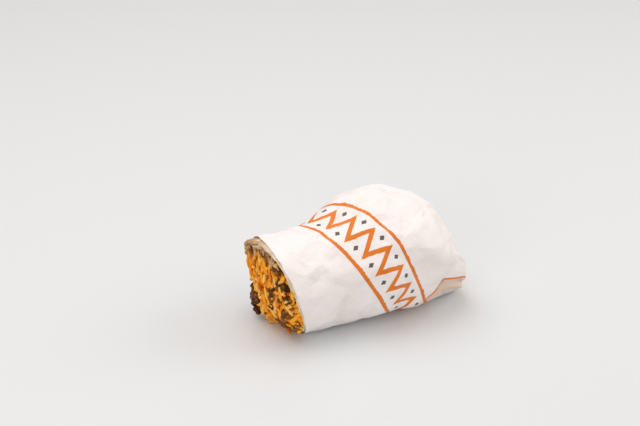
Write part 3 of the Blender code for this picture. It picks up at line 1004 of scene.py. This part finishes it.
NEAR_CHUNKS_IN, FAR_FOOT_OUT = 1.2, -1.0
for seed, node in enumerate(meats):
    draw = default_rng(300 + seed)
    place, size = node_middle(node)
    shape = polyhedron(draw, 34, 56, 9, 7, (0.72, 0.98)) * size / 2 * (0.85, 1.04, 1.04)
    shift = FAR_FOOT_OUT if node == "meat_far_foot" else NEAR_CHUNKS_IN * (place[1] < 9)
    grain = unit(draw.normal(size=3) * (0.5, 1, 1))
    shape = pressed(with_fibres(place + (shift, 0, 0) + shape, grain, 400 + 5 * seed))
    piece = closed_surface(node.replace("meat", "beef"), shape)
    paint(piece, "tone", draw.random())
    stretched = shape - 0.86 * (shape @ grain)[..., None] * grain
    paint(piece, "ridge", np.append(0.5 + 0.5 * lumps(stretched, 1.2, 77), (0.5, 0.5)))
    belongs(piece, beef, "meat", node)

# %% [markdown]
# Chopping leaves small bits too. They are the same kind of solid, many at once, each turned at
# random and joined in one piece. Most lie on the near side, where the beef is, some under the top
# edge, and a last few, small and charred, edge the foot at the far side.

# %% Beef bits
def any_turns(draw, count):
    """Random turns, as the rotation part of random matrices."""
    turns = np.linalg.qr(draw.normal(size=(count, 3, 3)))[0]
    return turns * np.sign(np.linalg.det(turns))[:, None, None]


def bits(name, places, sizes, power, draw):
    """Small polyhedra at places, sizes mm along each of their own three directions."""
    shape = polyhedron(draw, 9, 12, power, 4, (0.7, 1.0), (len(places),)) * sizes[:, None, None] / 2
    shape = np.einsum("nabk,nkm->nabm", shape, any_turns(draw, len(places)))
    shape = places[:, None, None] + shape
    away = unit(shape - shape.mean((1, 2), keepdims=True))
    return joined(name, pressed(shape + 0.35 * lumps(shape, 1.5, len(places))[..., None] * away))


EDGE_SPOTS = ((17.5, 9), (19.5, 12.5), (13, 48), (9, 50), (4, 49.5), (-3, 49.5), (16, 45.5))
CHARRED_SPOTS = ((15, 5.6), (13, 4.2), (17, 7.6), (18.6, 11), (19.6, 15.5), (17.5, 19), (11.5, 5.4))
places, _, draw = spread(90, 2.6, 71, 0.1, 0.55)
places = places[(places[:, 1] < -4) | (draw.random(len(places)) < 0.22)]
places = np.concatenate((places, on_front(EDGE_SPOTS, 0.8)[0], on_front(CHARRED_SPOTS, 1.6)[0]))
charred = slice(len(places) - len(CHARRED_SPOTS), None)
sizes = draw.uniform(2.4, 4.8, (len(places), 3))
sizes[charred] = (4.4, 3.0, 3.6)
beef_bits = bits("beef_bits", places, sizes, 7, draw)
ridge_values = draw.random((len(places), len(beef_bits.data.vertices) // len(places)))
ridge_values[charred] *= 0.25
paint(beef_bits, "ridge", ridge_values)
belongs(beef_bits, beef, "meat")

# %% [markdown]
# Onion dice are smaller polyhedra with wet, slightly clear flesh that has taken up some of the
# rice's orange.

# %% Onion dice
diced = Finish(
    "diced onion", Roughness=0.3, Specular_IOR_Level=0.35,
    Subsurface_Weight=0.4, Subsurface_Radius=(0.003, 0.0025, 0.0015), Subsurface_Scale=0.5
)
flesh = diced.blend(diced.noise(1.6, 3).step(0.3, 0.7), (0.93, 0.48, 0.09), (0.93, 0.62, 0.24))
flesh = diced.blend(diced.noise(3, 3).step(0.38, 0.58) * 0.8, flesh, (0.92, 0.46, 0.09))
diced.surface(flesh, None, diced.noise(1.5, 3), 0.25)

DICE_IN = 2.0
for seed, node in enumerate(onions):
    draw = default_rng(600 + seed)
    place, size = node_middle(node)
    shape = place + (DICE_IN, 0, 0) + polyhedron(draw, 18, 28, 14, 4, (0.85, 1.0)) * size / 2
    shape = pressed(shape + outward(shape) * 0.15 * lumps(shape, 2.5, 610 + seed)[..., None])
    piece = closed_surface(node.replace("onion", "dice"), shape)
    belongs(piece, diced, "onion", node)

# %% [markdown]
# Under the top of the cut the tortilla's inner lap has torn into pale strands, which hang over the
# filling, and a few small pale flecks of onion lie among the beef. Both are shapes that are already
# at hand: a strand is a flat grain with a ragged profile, and a fleck is a bit.

# %% Torn strands and flecks
STRAND_SPOTS = (
    (7, 50.5), (3.5, 51.5), (1, 51), (-2.5, 52), (-5.5, 50), (-8.5, 50.5), (-10.5, 47.5), (9.5, 48),
    (4.5, 48), (-6, 47), (-9.5, 44.5), (5.5, 50), (2, 49.5), (-0.5, 49), (-4, 49.5), (-7, 48.5),
    (-12, 45.5),
)
TORN = (0.15, 0.65, 1.0, 0.75, 1.1, 0.8, 0.95, 0.55, 0.7, 0.2)
places, normals = on_front(STRAND_SPOTS, 1.2)
draw = default_rng(81)
places = places + draw.normal(0, 0.5, places.shape)
strand_sizes = ((5.4, 1.2), (3.5, 0.8), (1.3, 0.2), (0, 1.0))
strands = sticks("torn_strands", places, normals, draw, (0.4, 0.8), TORN, strand_sizes)
paint(strands, "cut_edge", 1.0)
paint(strands, "toast", 0.62)
belongs(strands, dough, "tortilla")

FLECK_SPOTS = (
    (-10.5, 48.2), (-12, 44), (-14, 40), (-19.5, 29), (-20.5, 26), (-22, 23.5), (-17, 33),
    (-15, 14), (3, 14), (8, 30), (-3, 41), (12, 36), (-12, 27), (4.5, 21),
)
places, _ = on_front(FLECK_SPOTS, 0.8)
draw = default_rng(83)
places = places + draw.normal(0, 0.5, places.shape)
flecks = bits("onion_flecks", places, draw.uniform(1.8, 3.2, places.shape), 10, draw)
belongs(flecks, diced, "onion")

# %% [markdown]
# The visual model has to stay inside the box of the solid one.
